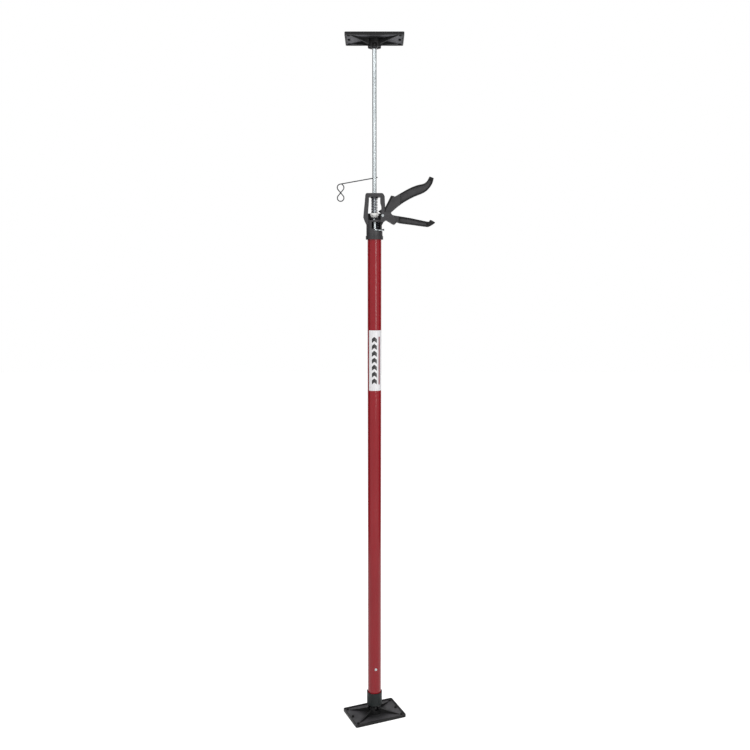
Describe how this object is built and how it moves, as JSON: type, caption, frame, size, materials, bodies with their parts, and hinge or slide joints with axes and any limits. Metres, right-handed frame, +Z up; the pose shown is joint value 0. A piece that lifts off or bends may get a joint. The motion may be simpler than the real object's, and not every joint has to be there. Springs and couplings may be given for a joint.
{
  "type": "telescopic drywall support pole",
  "caption": "Telescopic support pole for drywall: steel rod in a red tube, squeeze handle with sprung drive and lock plate, safety pin, tilting rubber-faced pads",
  "frame": {"origin": "middle of the foot pad's resting face, on the pole's axis", "axes": "+Z up along the pole, +X towards the handles, -Y towards the front"},
  "size_m": [0.2809, 0.163, 2],
  "materials": {
    "red_paint": "semi-gloss",
    "black_moulding": "fine grain",
    "black_rubber": "matt",
    "nylon_white": "satin",
    "zinc_steel": "zinc plated",
    "dark_wire": "drawn wire",
    "dark_steel": "blackened",
    "label_film": "satin"
  },
  "bodies": {
    "foot": {"foot_plate": "black_moulding", "foot_sole": "black_rubber"},
    "foot_cup": {"foot_ball_cup": "black_moulding"},
    "pole": {"main_tube": "red_paint", "tube_label": "label_film", "tube_rivet": "zinc_steel", "foot_collar": "black_moulding", "foot_ball_stud": "dark_steel", "head_housing": "black_moulding", "head_screw": "zinc_steel", "tube_guide_bush": "nylon_white", "upper_guide_bush": "black_moulding", "handle_pivot_pin": "zinc_steel", "pivot_clip": "dark_steel", "main_spring": "zinc_steel", "lock_spring": "zinc_steel"},
    "handle": {"squeeze_handle": "black_moulding"},
    "driver": {"drive_plate": "dark_steel", "spring_seat": "nylon_white"},
    "lock": {"lock_plate": "zinc_steel", "release_cap": "black_moulding"},
    "guide": {"rod_guide": "nylon_white"},
    "rod": {"push_rod": "zinc_steel", "rod_ring": "dark_steel", "rod_end_screw": "dark_steel", "top_ball_stud": "dark_steel"},
    "pin": {"safety_pin": "dark_wire"},
    "top_cup": {"top_ball_cup": "black_moulding"},
    "top_pad": {"top_plate": "black_moulding", "top_sole": "black_rubber"}
  },
  "joints": [
    {"name": "rod_slide", "type": "slide", "parent": "pole", "child": "guide", "axis": [0, 0, 1], "range_m": [-0.036, 0.9]},
    {"name": "rod_turn", "type": "hinge", "parent": "guide", "child": "rod", "pos_m": [0, 0, 1.5], "axis": [0, 0, 1], "range_deg": [-160, 160]},
    {"name": "pin_pull", "type": "slide", "parent": "rod", "child": "pin", "axis": [-0.9848, 0, -0.1736], "range_m": [0, 0.115]},
    {"name": "top_tilt_x", "type": "hinge", "parent": "rod", "child": "top_cup", "pos_m": [0, 0, 1.97966], "axis": [1, 0, 0], "range_deg": [-15, 15]},
    {"name": "top_tilt_y", "type": "hinge", "parent": "top_cup", "child": "top_pad", "pos_m": [0, 0, 1.97966], "axis": [0, 1, 0], "range_deg": [-15, 15]},
    {"name": "handle_squeeze", "type": "hinge", "parent": "pole", "child": "handle", "pos_m": [0.024, 0, 1.50886], "axis": [0, 1, 0], "range_deg": [0, 16], "stiffness_Nm_per_rad": 1.2, "springref_deg": -17.19},
    {"name": "drive_lift", "type": "slide", "parent": "pole", "child": "driver", "axis": [0, 0, 1], "range_m": [0, 0.006], "deforming": ["main_spring"]},
    {"name": "lock_release", "type": "hinge", "parent": "pole", "child": "lock", "pos_m": [-0.0168, 0, 1.46936], "axis": [0, -1, 0], "range_deg": [0, 5], "stiffness_Nm_per_rad": 0.3, "springref_deg": -11.46, "deforming": ["lock_spring"]},
    {"name": "foot_tilt_x", "type": "hinge", "parent": "foot_cup", "child": "pole", "pos_m": [0, 0, 0.02036], "axis": [0.9212, 0.3891, 0], "range_deg": [-15, 15]},
    {"name": "foot_tilt_y", "type": "hinge", "parent": "foot", "child": "foot_cup", "pos_m": [0, 0, 0.02036], "axis": [-0.3891, 0.9212, 0], "range_deg": [-15, 15]}
  ],
  "couplings": [
    {"joint": "drive_lift", "follows": "handle_squeeze", "m_per_rad": 0.0212}
  ]
}
